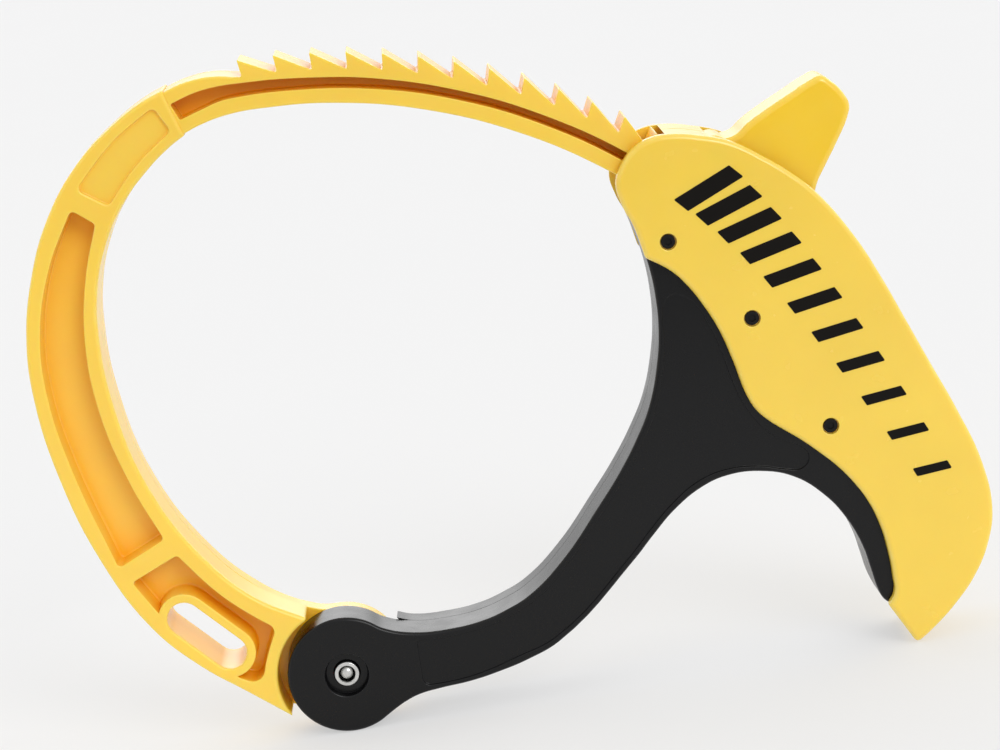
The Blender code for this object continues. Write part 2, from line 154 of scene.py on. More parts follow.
def outline(points, steps=6):
    """Dense anticlockwise loop: (x, z) lies on a smooth curve, (x, z, r) is a corner of radius r."""
    knots = [Vector(point[:2]) for point in points]
    count, handles = len(points), []
    for i, point in enumerate(points):
        back = knots[i] - knots[i - 1]
        ahead = knots[(i + 1) % count] - knots[i]
        if len(point) == 3:
            handles.append((knots[i] - back / 3, knots[i] + ahead / 3))
            continue
        tangent = back.normalized() + ahead.normalized()
        reach = tangent.length * AUTO_HANDLE
        handles.append((knots[i] - tangent * (back.length / reach),
                        knots[i] + tangent * (ahead.length / reach)))
    loop, corners = [], {}
    for i, point in enumerate(points):
        j = (i + 1) % count
        if len(point) == 3:
            corners[len(loop)] = point[2]
        straight = len(point) == 3 and len(points[j]) == 3
        parts = 1 if straight else steps
        for k in range(parts):
            loop.append(bezier(knots[i], handles[i][1], handles[j][0], knots[j], k / parts))
    loop = soften(loop, corners)
    loop = [p for i, p in enumerate(loop) if (p - loop[i - 1]).length > 0.01]
    area = sum(p.cross(loop[(i + 1) % len(loop)]) for i, p in enumerate(loop))
    return loop if area > 0 else loop[::-1]


def meeting(a, b, c, d):
    """Where the line through a and b crosses the line through c and d."""
    way, other = b - a, d - c
    span = way.cross(other)
    return a + way * ((c - a).cross(other) / span) if abs(span) > 1e-9 else (b + c) / 2


def unfolded(loop, ring):
    """The ring of a shifted loop, with each corner too tight for the shift drawn to one mitre point."""
    count = len(ring)
    for _ in range(30):
        kept = [i for i in range(count)
                if (ring[(i + 1) % count] - ring[i]).dot(loop[(i + 1) % count] - loop[i]) > 1e-9]
        folds = [(i, kept[(k + 1) % len(kept)]) for k, i in enumerate(kept)
                 if kept[(k + 1) % len(kept)] != (i + 1) % count]
        folds = [(i, j) for i, j in folds if (ring[(i + 1) % count] - ring[j]).length > 1e-6]
        if not folds:
            break
        for i, j in folds:
            point = meeting(ring[i], ring[(i + 1) % count], ring[j], ring[(j + 1) % count])
            k = (i + 1) % count
            while True:
                ring[k] = point.copy()
                if k == j:
                    break
                k = (k + 1) % count
    return ring


def shifted(loop, inward, weight=None):
    """The loop moved towards its inside, corners mitred; weight(point) scales the move."""
    count, out = len(loop), []
    for i, p in enumerate(loop):
        a = (p - loop[i - 1]).normalized()
        b = (loop[(i + 1) % count] - p).normalized()
        mitre = Vector((-a.y - b.y, a.x + b.x))
        mitre = mitre / max(1.0 + a.dot(b), 0.2)
        out.append(p + mitre * (inward * (weight(p) if weight else 1.0)))
    return unfolded(loop, out)


def stadium(a, b, radius, steps=14):
    """Slot shape round two centres."""
    head = math.degrees(math.atan2(b[0] - a[0], b[1] - a[1]))
    return arc(radius, head + 90, head + 270, steps, a) + arc(radius, head - 90, head + 90, steps, b)


def round_edge(face, into, radius, extra=0.0, steps=5):
    """Wall profile of a rounded edge: from the face (at y) over to the side, going into +y or -y."""
    quarter = math.pi / 2 / steps
    return [(extra + radius * (1 - math.sin(quarter * k)), face + into * radius * (1 - math.cos(quarter * k)))
            for k in range(steps + 1)]


# ---------------------------------------------------------------- meshes

def to_object(name, bm):
    """Turn a bmesh into an object in the scene."""
    bmesh.ops.recalc_face_normals(bm, faces=bm.faces)
    mesh = bpy.data.meshes.new(name)
    bm.to_mesh(mesh)
    bm.free()
    obj = bpy.data.objects.new(name, mesh)
    bpy.context.scene.collection.objects.link(obj)
    return obj


def place(x, y, z):
    """World position of a point given in millimetres from the jaw pivot."""
    return PIVOT + Vector((x * MM, y * MM, z * MM))


def prism(name, loop, profile, weight=None):
    """A closed body from one outline: the profile is (inward shift, depth) from front to back."""
    bm = bmesh.new()
    rings = [[bm.verts.new(place(p.x, y, p.y)) for p in shifted(loop, inward, weight)]
             for inward, y in profile]
    for near, far in zip(rings, rings[1:]):
        for i in range(len(near)):
            j = (i + 1) % len(near)
            bm.faces.new((near[i], near[j], far[j], far[i]))
    bm.faces.new(rings[0])
    bm.faces.new(rings[-1])
    bmesh.ops.remove_doubles(bm, verts=bm.verts, dist=SAME)
    return to_object(name, bm)


def turned(name, profile, at=(0.0, 0.0), sides=72):
    """A round body about an axis along Y, from (radius, depth) pairs; radius 0 closes on the axis."""
    bm = bmesh.new()
    rings = []
    for radius, y in profile:
        if radius == 0.0:
            rings.append([bm.verts.new(place(at[0], y, at[1]))])
        else:
            rings.append([bm.verts.new(place(x, y, z)) for x, z in arc(radius, 0, 360, sides, at)[:-1]])
    if len(rings[0]) > 1:
        rings.append(rings[0])
    for near, far in zip(rings, rings[1:]):
        for i in range(sides):
            j = (i + 1) % sides
            corners = [near[i % len(near)], near[j % len(near)], far[j % len(far)], far[i % len(far)]]
            bm.faces.new(list(dict.fromkeys(corners)))
    return to_object(name, bm)


def combine(obj, tools, operation):
    """Apply a Boolean with several tool objects at once, and remove them."""
    for tool in tools:
        step = obj.modifiers.new(operation, "BOOLEAN")
        step.operation = operation
        step.solver = "MANIFOLD"
        step.object = tool
    graph = bpy.context.evaluated_depsgraph_get()
    mesh = bpy.data.meshes.new_from_object(obj.evaluated_get(graph), depsgraph=graph)
    obj.modifiers.clear()
    obj.data = mesh
    for tool in tools:
        bpy.data.objects.remove(tool)


def cut(obj, *tools):
    """Take the tools' shapes away from the object."""
    combine(obj, tools, "DIFFERENCE")


def join(obj, *tools):
    """Add the tools' shapes to the object."""
    combine(obj, tools, "UNION")


def through(radius):
    """Profile of a round tool that cuts right through."""
    return [(0.0, -THROUGH), (radius, -THROUGH), (radius, THROUGH), (0.0, THROUGH)]


def shade(obj, sharp=SHARP):
    """Smooth shading with sharp edges by angle, on a cleaned mesh.

    A flat front or rear face keeps its own normal right up to its rim.
    The attribute "rim" is 0 on faces and walls and 1 halfway round an edge, for the materials.
    """
    bm = bmesh.new()
    bm.from_mesh(obj.data)
    bmesh.ops.remove_doubles(bm, verts=bm.verts, dist=WELD)
    bmesh.ops.dissolve_degenerate(bm, dist=WELD, edges=bm.edges)
    bmesh.ops.dissolve_limit(bm, angle_limit=math.radians(COPLANAR), verts=bm.verts, edges=bm.edges)
    bm.to_mesh(obj.data)
    bm.free()
    mesh = obj.data
    mesh.shade_smooth()
    mesh.set_sharp_from_angle(angle=math.radians(sharp))
    around = [[] for _ in mesh.vertices]
    for face in mesh.polygons:
        for vertex in face.vertices:
            around[vertex].append(face)
    limit = math.cos(math.radians(sharp))
    normals = []
    for face in mesh.polygons:
        for vertex in face.vertices:
            near = [other for other in around[vertex] if other.normal.dot(face.normal) > limit]
            flat = [other for other in near if abs(other.normal.y) > FLAT]
            total = sum((other.normal * other.area for other in flat or near), Vector())
            normals.append(total.normalized() if total.length else face.normal)
    mesh.normals_split_custom_set(normals)
    rim = mesh.attributes.new("rim", "FLOAT", "FACE")
    for face in mesh.polygons:
        slope = abs(face.normal.y)
        rim.data[face.index].value = 4.0 * slope * (1.0 - slope)


def settle(obj, material, body, slot, *nodes):
    """Give a finished piece its material and its body, and hide the CAD nodes it stands for."""
    obj.data.materials.clear()
    obj.data.materials.append(material)
    for face in obj.data.polygons:
        face.material_index = 0
    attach(obj, body)
    if nodes:
        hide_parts(*nodes)


def fitting(obj, material, slot, node, sharp=SHARP):
    """Shade and settle a small part that is fixed to the frame."""
    shade(obj, sharp)
    settle(obj, material, "frame_body", slot, node)


# ---------------------------------------------------------------- materials

def srgb(red, green, blue):
    """Linear colour from 0-255 display values."""
    values = []
    for v in (red, green, blue):
        v /= 255
        values.append(v / 12.92 if v <= 0.04045 else ((v + 0.055) / 1.055) ** 2.4)
    return (*values, 1.0)


def dimmed(colour, share):
    """The same colour at a share of its brightness."""
    return tuple(c * share for c in colour[:3]) + (1.0,)


class Recipe:
    """A node material under construction, on object coordinates in metres."""

    def __init__(self, name):
        self.material = bpy.data.materials.new(name)
        self.material.use_nodes = True
        self.tree = self.material.node_tree
        self.shader = self.tree.nodes["Principled BSDF"]
        self.coordinates = self.tree.nodes.new("ShaderNodeTexCoord").outputs["Object"]

    def node(self, kind, **settings):
        """A new shader node with its settings."""
        node = self.tree.nodes.new("ShaderNode" + kind)
        for key, value in settings.items():
            setattr(node, key, value)
        return node

    def link(self, source, target):
        self.tree.links.new(source, target)

    def noise(self, feature_mm, detail=3.0, roughness=0.55, stretch=(1.0, 1.0, 1.0)):
        """Noise with features of about that size; returns its value output."""
        mapping = self.node("Mapping")
        mapping.inputs["Scale"].default_value = stretch
        self.link(self.coordinates, mapping.inputs["Vector"])
        noise = self.node("TexNoise")
        noise.inputs["Scale"].default_value = 1.0 / (feature_mm * MM)
        noise.inputs["Detail"].default_value = detail
        noise.inputs["Roughness"].default_value = roughness
        self.link(mapping.outputs["Vector"], noise.inputs["Vector"])
        return noise.outputs["Fac"]

    def ranged(self, source, low, high, from_low=0.3, from_high=0.7):
        """Map a 0-1 value to low..high."""
        node = self.node("MapRange")
        node.inputs["From Min"].default_value = from_low
        node.inputs["From Max"].default_value = from_high
        node.inputs["To Min"].default_value = low
        node.inputs["To Max"].default_value = high
        self.link(source, node.inputs["Value"])
        return node.outputs["Result"]

    def mixed(self, factor, a, b):
        """Blend between two colours, or an output and a colour."""
        node = self.node("Mix", data_type="RGBA")
        self.link(factor, node.inputs["Factor"])
        for socket, value in ((node.inputs[6], a), (node.inputs[7], b)):
            if isinstance(value, tuple):
                socket.default_value = value
            else:
                self.link(value, socket)
        return node.outputs[2]

    def bumps(self, *layers):
        """Chain bump nodes, each (height output, depth in mm)."""
        normal = None
        for height, depth in layers:
            bump = self.node("Bump")
            bump.inputs["Distance"].default_value = depth * MM
            bump.inputs["Strength"].default_value = 1.0
            self.link(height, bump.inputs["Height"])
            if normal:
                self.link(normal, bump.inputs["Normal"])
            normal = bump.outputs["Normal"]
        self.link(normal, self.shader.inputs["Normal"])

    def painted_hollow_shade(self, reach_mm):
        """Mask for painted shade in hollows: 0 on open faces to 1 far down in grooves and pockets, from
        occlusion.
        """
        node = self.node("AmbientOcclusion", samples=8)
        node.inputs["Distance"].default_value = reach_mm * MM
        return self.ranged(node.outputs["AO"], 1.0, 0.0, 0.12, 0.92)

    def rubbed(self, patch_mm):
        """0 on flat faces, up to 1 in patches along rounded edges."""
        rim = self.node("Attribute", attribute_name="rim").outputs["Fac"]
        patch = self.ranged(self.noise(patch_mm), 0.2, 1.0)
        product = self.node("Math", operation="MULTIPLY")
        self.link(rim, product.inputs[0])
        self.link(patch, product.inputs[1])
        return product.outputs["Value"]


def moulded(name, colour, worn, roughness, grain_mm=0.35, grain_depth=0.004, ior=1.5, glow=0.0, hollow_shade_colour=None):
    """Injection-moulded plastic: fine spark grain, slow colour and gloss drift, rubbed edges.

    A translucent one glows a little, and can have painted shade, a darker and stronger orange, in its
    hollows.
    """
    made = Recipe(name)
    drift = made.noise(22.0, detail=2.0)
    body = made.mixed(made.ranged(drift, 0.0, 1.0), colour, dimmed(colour, 0.955))
    body = made.mixed(made.rubbed(4.0), body, worn)
    if hollow_shade_colour:
        # painted shade: where occlusion finds a hollow, the colour turns a darker orange
        body = made.mixed(made.painted_hollow_shade(8.0), body, hollow_shade_colour)
    made.link(body, made.shader.inputs["Base Color"])
    patches = made.noise(6.0, detail=2.0)
    made.link(made.ranged(patches, roughness - 0.03, roughness + 0.04), made.shader.inputs["Roughness"])
    grain = made.noise(grain_mm, detail=2.0, roughness=0.6)
    waves = made.noise(14.0, detail=1.0)
    made.bumps((grain, grain_depth), (waves, 0.03))
    made.shader.inputs["IOR"].default_value = ior
    made.shader.inputs["Subsurface Weight"].default_value = glow
    made.shader.inputs["Subsurface Radius"].default_value = (1.0, 0.6, 0.08)
    made.shader.inputs["Subsurface Scale"].default_value = 4.0 * MM
    return made.material


def steel(name, colour, roughness, grain_mm=0.25):
    """Turned steel: fine lines round the axis and patchy gloss."""
    made = Recipe(name)
    patches = made.noise(2.0, detail=3.0)
    body = made.mixed(made.ranged(patches, 0.0, 1.0), colour, dimmed(colour, 0.8))
    made.link(body, made.shader.inputs["Base Color"])
    made.link(made.ranged(made.noise(0.8), roughness - 0.06, roughness + 0.1),
              made.shader.inputs["Roughness"])
    made.bumps((made.noise(grain_mm, detail=2.0, stretch=(1.0, 6.0, 1.0)), 0.003))
    made.shader.inputs["Metallic"].default_value = 1.0
    return made.material


# the jaw's grooves and pockets get a painted shade of darker orange
JAW_YELLOW = moulded("moulded_yellow_jaw", srgb(248, 209, 84), srgb(250, 217, 108), 0.22, ior=1.46,
                     glow=0.4, hollow_shade_colour=srgb(250, 186, 8))
COVER_YELLOW = moulded("moulded_yellow_cover", srgb(245, 207, 72), srgb(249, 218, 106), 0.24,
                       0.3, 0.001, 1.65, 0.2)
LEVER_YELLOW = moulded("moulded_yellow_lever", srgb(246, 204, 46), srgb(249, 214, 86), 0.22,
                       0.3, 0.001, 1.65, 0.2)
BLACK = moulded("moulded_black", srgb(5, 5, 6), srgb(26, 26, 28), 0.26, 0.45, 0.003, 1.36)
STEEL = steel("turned_steel", srgb(222, 222, 220), 0.2)
SPRING_STEEL = steel("spring_steel", srgb(170, 170, 172), 0.32)
BLACK_SCREW = moulded("black_oxide", srgb(10, 9, 9), srgb(34, 32, 31), 0.5, 0.2, 0.004, 1.3)
INK_BLACK = moulded("printed_ink", srgb(14, 11, 8), srgb(24, 21, 18), 0.4, 0.2, 0.001, 1.22)


# ---------------------------------------------------------------- jaw

def tooth_weight(p):
    """Less edge rounding on the teeth than elsewhere."""
    angle = math.degrees(math.atan2(p.x, p.y))
    return 0.35 if p.length > ROOT_R - 0.3 and angle > FIRST_TIP - 0.6 else 1.0


HEEL = (-15.6, -8.8, 0.0)
OUTER_EDGE = [(-25.4, -0.8), (-36.4, 8.2), (-46.8, 20.1), (-56.5, 40.1), (-62.6, 62.2), (-65.1, 83.0),
              (-64.2, 98.0), (-60.1, 113.3), (-53.5, 127.3), (-43.9, 139.5), (-33.6, 147.6), (-25.4, 152.2),
              (-19.9, 154.2, 0.4)]
INNER_EDGE = [(-16.3, 142.3, 0.4), (-20.3, 140.1), (-26.9, 135.2), (-34.6, 127.5), (-41.0, 117.1),
              (-44.4, 107.5), (-46.0, 97.0), (-45.8, 80.0), (-40.7, 56.0), (-29.2, 34.5), (-19.4, 23.8)]


def jaw_profile(face, edge):
    """Front and rear halves of the jaw's wall, which overlap in a fine parting line."""
    front = round_edge(-face, 1, edge, DRAFT)
    front += [(0.0, JAW_PART - PARTING), (PARTING, JAW_PART + OVERLAP / 2)]
    rear = [(PARTING, JAW_PART - OVERLAP / 2), (0.0, JAW_PART + PARTING)]
    rear += round_edge(face, -1, edge, DRAFT)[::-1]
    return front, rear


def make_c():
    """The C: front half ends at the ear's room, rear half carries the hub."""
    front, rear = jaw_profile(JAW_Y, JAW_ROUND)
    around_ear = [polar(LAP_R, -23.5, 0.8)] + [polar(LAP_R, a) for a in range(-32, -116, -8)]
    around_ear += [polar(LAP_R, -117.5)]
    front_loop = outline([HEEL] + OUTER_EDGE + INNER_EDGE + around_ear)
    hub = [(-11.8, 18.3), (-6.9, 16.0), (-3.2, 14.8)] + arc(HUB_R, 2, 214, 26) + [(-9.6, -11.3, 2.0)]
    rear_loop = outline([HEEL] + OUTER_EDGE + INNER_EDGE + hub)
    body = prism("jaw_shell", front_loop, front)
    join(body, prism("rear_half", rear_loop, rear))
    return body


def make_rail():
    """The toothed rail, a little thinner than the C, up to its end inside the handle."""
    teeth = [polar(ROOT_R, FIRST_TIP + 0.2, 0.5)]
    for i in range(TEETH):
        tip = FIRST_TIP + PITCH * i
        if i:
            teeth.append(polar(ROOT_R, tip + 0.2, 0.35))
        teeth.append(polar(TIP_R, tip, 0.25))
    end = [polar(ROOT_R, JAW_END, 0.0), polar(152.0, JAW_END + 0.6, 0.0), polar(147.0, JAW_END + 0.6, 1.5),
           polar(RAIL_IN, JAW_END, 0.0)]
    inner = ([polar(RAIL_IN, a) for a in (52, 44, 36)] + [polar(145.0, 27.0), polar(145.5, 17.0)] +
             [polar(145.8, a) for a in (8, 2)] + [(-4.6, 145.6), (-12.3, 144.1), (-17.3, 142.3, 0.0)])
    loop = outline([(-20.9, 153.3, 0.0), (-15.1, 155.0), (-8.0, 155.6)] + teeth + end + inner)
    front, rear = jaw_profile(RAIL_Y, RAIL_ROUND)
    rail = prism("rail", loop, front, tooth_weight)
    join(rail, prism("rail_rear", loop, rear, tooth_weight))
    return rail


def pocket_tool(name, loop, face, floor, rim=0.35, draft=0.2, fillet=0.5):
    """Cutter for a moulded recess: rounded rim, slightly tapered wall and a fillet round its floor."""
    into = 1 if floor > face else -1
    flare = [(-inward, y) for inward, y in round_edge(face, into, rim)]
    foot = [(draft + inward, y) for inward, y in round_edge(floor, -into, fillet)][::-1]
    return prism(name, loop, [(-rim, face - into * 3)] + flare + foot)


# the slot's two centres, its radius and that of the rim round it, then the recesses
SLOT_A, SLOT_B, SLOT_R, BOSS_R = (-38.2, 21.3), (-28.3, 10.7), 4.3, 6.6
BIG_POCKET = [(-47.2, 128.7, 1.2), (-55.3, 114.8), (-60.5, 98.5), (-61.5, 83.5), (-58.9, 64.0),
              (-52.0, 37.2, 1.2), (-39.5, 42.7, 1.2), (-45.2, 58.0), (-49.6, 78.0), (-49.8, 95.5),
              (-46.7, 111.4), (-41.9, 124.3, 1.2)]
SMALL_POCKET = [(-37.1, 38.1, 1.1), (-49.4, 32.9, 0.9), (-44.5, 24.3, 0.8), (-27.0, 3.7, 0.3),
                (-21.4, 0.7, 3.0), (-20.2, 5.3), (-18.4, 9.7), (-15.7, 15.1, 2.3), (-21.1, 19.4),
                (-28.7, 26.8)]
GROOVE = [(-18.6, 150.4, 0.5), (-10.7, 152.5), (1.6, 152.7), polar(152.3, 6.0), polar(152.1, 12.0),
          polar(151.6, 20.0), polar(151.1, 28.0), polar(150.7, 37.0), polar(150.4, 46.0),
          polar(150.4, 54.5, 0.6), polar(148.5, 54.5, 0.6), polar(148.5, 46.0), polar(148.5, 37.0),
          polar(148.9, 28.0), polar(149.3, 20.0), polar(149.5, 12.0), polar(149.5, 4.0), (-2.6, 149.5),
          (-6.4, 149.2), (-11.6, 147.8), (-16.9, 146.2, 0.5)]
LABEL = [(-22.8, 150.4, 1.5), (-34.0, 143.6), (-45.0, 133.4, 1.5), (-37.8, 128.2, 1.5), (-29.8, 136.6),
         (-19.6, 144.0, 1.5)]
LABEL_DEPTH = 1.1


def slot_tool():
    """Cutter for the slot, with a rounded rim on both faces."""
    rim, draft = 0.6, 0.1
    front = [(-inward, y) for inward, y in round_edge(-JAW_Y, 1, rim)]
    rear = [(-inward, y) for inward, y in round_edge(JAW_Y, -1, rim)][::-1]
    profile = [(-rim, -THROUGH)] + front
    profile += [(draft, WEB_FRONT), (draft, WEB_REAR)] + rear + [(-rim, THROUGH)]
    return prism("slot", outline(stadium(SLOT_A, SLOT_B, SLOT_R), 1), profile)


def small_pocket_tool(face, floor):
    """Cutter for the small pocket, which leaves a rim standing round the slot."""
    into = 1 if floor > face else -1
    rim = 0.35
    boss = [(rim, face - into * 4)] + round_edge(face, into, rim)
    boss += [(-0.2, floor - into * 0.6), (-0.45, floor - into * 0.15), (-0.9, floor), (-0.9, floor + into)]
    pocket = pocket_tool("small", outline(SMALL_POCKET), face, floor)
    cut(pocket, prism("boss", outline(stadium(SLOT_A, SLOT_B, BOSS_R), 1), boss))
    return pocket


def make_jaw():
    """C and toothed rail in one moulding, with its pockets, label recess, slot and bore."""
    jaw = make_c()
    join(jaw, make_rail())
    tools = [slot_tool(), turned("bore", through(BORE_R)),
             pocket_tool("label", outline(LABEL), -JAW_Y, LABEL_DEPTH - JAW_Y, 0.5, 0.1, 0.25)]
    for face, rail_face, floor in ((-JAW_Y, -RAIL_Y, WEB_FRONT), (JAW_Y, RAIL_Y, WEB_REAR)):
        tools.append(pocket_tool("big", outline(BIG_POCKET), face, floor))
        tools.append(small_pocket_tool(face, floor))
        tools.append(pocket_tool("groove", outline(GROOVE), rail_face, floor, 0.2, 0.15, 0.3))
    cut(jaw, *tools)
    shade(jaw)
    settle(jaw, JAW_YELLOW, "jaw_body", "jaw", "jaw")


# ---------------------------------------------------------------- black frame

ARM_INSIDE = [(18.6, 8.3), (27.6, 7.7), (36.5, 8.5), (42.8, 10.3), (48.9, 13.0), (58.5, 20.6),
              (69.6, 32.9), (76.5, 41.2), (82.2, 49.4), (86.2, 56.6), (89.9, 67.7), (91.3, 75.0),
              (91.8, 83.0), (91.3, 91.6), (90.1, 98.0), (88.9, 103.0), polar(CORE_R, 38.2, 0.0)]
CORE = ([polar(CORE_R, a) for a in range(42, 88, 5)] +
        [polar(CORE_R, 88.0, 0.0), polar(157.0, 88.8, 0.0), (157.4, 0.2), (152.4, -5.1), (148.2, -9.4),
         (144.6, -13.0, 0.0)])
ARCH_EDGE = [(139.9, -4.6), (138.4, -3.0), (137.3, -0.3), (136.2, 5.3), (134.8, 12.0), (131.4, 20.2),
             (127.1, 26.4), (120.0, 32.5), (111.9, 35.3), (103.4, 35.6), (96.7, 33.7), (89.0, 29.0),
             (83.0, 23.6), (77.1, 17.8), (55.0, -0.4), (46.5, -3.8), (38.6, -5.8), (31.0, -7.1),
             (22.8, -7.7), (17.5, -8.4)]
PANEL = [(19.0, 6.2, 1.0), (18.9, -6.1, 1.9), (27.0, -6.0), (33.5, -5.2), (44.0, -2.4),
         (53.9, 0.9), (76.1, 19.0), (81.9, 24.8), (88.0, 30.4), (95.9, 35.5), (103.3, 37.4), (112.1, 36.8),
         (118.3, 35.0), (122.4, 34.6), (124.5, 37.4), (122.3, 40.6), (118.9, 42.4), (115.0, 45.4),
         (112.0, 49.5), (109.4, 54.7), (107.7, 60.7), (106.4, 67.1), (104.4, 74.1), (101.6, 80.3),
         (98.9, 83.0), (96.0, 83.9), (93.7, 82.0), (92.8, 78.0), (92.6, 73.0), (91.1, 65.5), (88.0, 56.0),
         (83.8, 48.4), (78.0, 40.1), (70.9, 31.8), (59.6, 19.3), (49.9, 11.3), (43.4, 8.5), (36.7, 6.7),
         (27.6, 5.8)]
PANEL_DEPTH = 0.7


def frame_body():
    """Front half with the round ear, and rear half cut back round the jaw's hub."""
    front = round_edge(-FRAME_Y, 1, FRAME_ROUND, DRAFT) + [(0.0, LAP - PARTING), (PARTING, LAP)]
    rear = [(PARTING, LAP - OVERLAP), (0.0, LAP + PARTING - OVERLAP)]
    rear += round_edge(FRAME_Y, -1, FRAME_ROUND, DRAFT)[::-1]
    ear = [(14.0, -9.6), (11.2, -11.0)] + arc(EAR_R, 145, 390, 30) + [(11.4, 10.6)]
    room = [polar(LAP_R, 122.5, 0.0)] + [polar(LAP_R, a) for a in range(114, 64, -8)]
    body = prism("frame_shell", outline(ARM_INSIDE + CORE + ARCH_EDGE + ear), front)
    rear_loop = outline([polar(LAP_R, 56.2, 0.0)] + ARM_INSIDE + CORE + ARCH_EDGE + room)
    join(body, prism("frame_rear", rear_loop, rear))
    return body


def make_frame():
    """Black moulding with the ear's recess, a shallow panel on both faces of the arm, and screw holes."""
    body = frame_body()
    mouth = [(5.6 + inward, y) for inward, y in round_edge(-FRAME_Y, 1, 0.4)]
    recess = [(0.0, -THROUGH), (6.0, -THROUGH)] + mouth
    recess += [(5.5, -7.0), (5.2, -6.7), (BORE_R, -6.7), (BORE_R, THROUGH), (0.0, THROUGH)]
    tools = [turned("recess", recess)]
    for sign in (-1, 1):
        tools.append(pocket_tool("panel", outline(PANEL), sign * FRAME_Y, sign * (FRAME_Y - PANEL_DEPTH),
                                 0.25, 0.0, 0.2))
    tools += [turned("hole", through(SCREW_HOLE_R), polar(*at), 32) for at in SCREWS]
    cut(body, *tools)
    shade(body)
    settle(body, BLACK, "frame_body", "frame", "frame")


# ---------------------------------------------------------------- covers

COVER_EDGE = [(90.7, 94.6, 1.0), (88.9, 103.0), (86.9, 108.5), (86.1, 113.8), (88.0, 118.4), (91.9, 122.3),
              (95.8, 123.9), (101.2, 124.1), (108.7, 122.5), (115.6, 120.0), (123.3, 114.8), (129.3, 109.9),
              (134.3, 104.8), (142.9, 91.6), (147.9, 81.0), (152.6, 69.3), (157.6, 56.7), (162.7, 44.0),
              (167.4, 29.4), (168.6, 17.0), (166.6, 8.5), (162.3, 0.4), (156.5, -6.3), (149.1, -12.6),
              (145.2, -15.2, 1.2), (139.2, -4.0, 1.2), (141.1, -1.0), (141.3, 3.2), (140.9, 10.4),
              (139.6, 17.8), (137.3, 24.3), (134.0, 30.1), (130.6, 34.6), (127.1, 38.3), (122.4, 42.8),
              (119.0, 45.6), (115.3, 48.8), (112.6, 52.0), (110.8, 56.0), (108.7, 65.0), (106.3, 73.5),
              (103.4, 80.1), (100.1, 85.9), (96.6, 90.2)]
HUB_ROOM = [point + (0.0,) for point in arc(4.4, -76.0, -30.0, 8, LEVER_AT)]
HOLLOW = ([(70.0, 100.0, 0.0), (70.0, 130.0, 0.0), polar(172.0, 37.5, 0.0), polar(159.3, 37.8, 0.2),
           polar(159.6, 40.5, 0.0)] + HUB_ROOM +
          [polar(178.0, 42.6, 0.0), polar(178.0, 54.0, 0.0), polar(166.6, 54.6, 0.0)] +
          [polar(r, a) for r, a in ((165.6, 60), (164.8, 66), (164.6, 70), (165.4, 75), (166.6, 80),
                                    (166.0, 84), (163.6, 87))] +
          [(159.9, 1.0), (154.4, -4.7), (147.7, -10.5), (141.0, -16.0, 0.0), (120.0, -20.0, 0.0),
           (90.0, 30.0, 0.0)])


def sink_tool(sign, at):
    """Cutter for a screw hole, with the head's seat in the front cover and the nut's in the rear."""
    wide, floor = (2.1, 10.9) if sign < 0 else (3.4, 10.4)
    shank, rim = 1.5, 0.25
    profile = [(0.0, sign * 14), (wide + rim, sign * 14)]
    profile += [(wide + inward, y) for inward, y in round_edge(sign * COVER_OUT, -sign, rim)]
    profile += [(wide, sign * floor), (shank, sign * floor), (shank, 0.0), (0.0, 0.0)]
    return turned("sink", profile, polar(*at), 48)


def make_cover(side, sign):
    """Handle shell: generous outer rounding, hollow inside, sunk screw holes and a socket for the pin."""
    split, socket_y = 0.15, 11.3
    profile = round_edge(sign * COVER_OUT, -sign, COVER_ROUND, 0.0, 7)
    profile += [(0.0, sign * (split + 0.2)), (0.2, sign * split)]
    cover = prism("cover_%s_shell" % side, outline(COVER_EDGE), profile)
    tools = [prism("hollow", outline(HOLLOW), [(0.0, sign * -1.0), (0.0, sign * COVER_IN)])]
    tools += [sink_tool(sign, at) for at in SCREWS]
    socket = [(0.0, sign * 8), (PIN_HOLE_R, sign * 8), (PIN_HOLE_R, sign * socket_y), (0.0, sign * socket_y)]
    tools.append(turned("pin_socket", socket, LEVER_AT, 32))
    cut(cover, *tools)
    shade(cover)
    settle(cover, COVER_YELLOW, "frame_body", "cover", "cover_" + side)


PRINT_LINE = (Vector((108.5, 109.5)), Vector((123.0, 94.0)), Vector((138.0, 66.0)), Vector((154.5, 30.0)))
BARS, BAR_LONG, BAR_SHORT, BAR_WIDE, BAR_THIN, INK = 11, 16.0, 9.0, 4.6, 2.4, 0.05
ACROSS, ALONG = 0.94, 0.34   # how far a bar leans along the row


def make_print():
    """Plain printed ornament: a row of slanted bars that get shorter and thinner down the handle."""
    bars = []
    for i in range(BARS):
        t = i / (BARS - 1)
        centre = bezier(*PRINT_LINE, t)
        way = (bezier(*PRINT_LINE, t + 0.01) - bezier(*PRINT_LINE, t - 0.01)).normalized()
        slant = Vector((-way.y, way.x)) * ACROSS + way * ALONG
        reach = slant * (BAR_LONG + (BAR_SHORT - BAR_LONG) * t) / 2
        half = way * (BAR_WIDE + (BAR_THIN - BAR_WIDE) * t) / 2
        corners = [centre - reach - half, centre - reach + half, centre + reach + half, centre + reach - half]
        loop = outline([(c.x, c.y, 0.3) for c in corners])
        bars.append(prism("cover_print", loop, [(0.0, -COVER_OUT - INK), (0.0, INK - COVER_OUT)]))
    join(bars[0], *bars[1:])
    settle(bars[0], INK_BLACK, "frame_body", None)


# ---------------------------------------------------------------- lever

LEVER_EDGE = [(112.2, 120.8), (114.8, 120.3), (117.5, 120.8), (120.3, 122.8), (125.9, 125.8),
              (131.9, 128.6), (137.6, 131.2), (140.3, 131.9), (142.9, 130.0), (145.6, 126.4),
              (146.5, 123.7), (145.8, 121.0), (142.3, 115.0), (138.4, 109.2), (136.2, 105.8),
              (134.6, 101.8, 0.0), (128.6, 103.0, 0.0), (111.4, 114.8, 0.0)]
PAWL_UP = 11.0               # degrees from a tooth valley to where the pawl is drawn


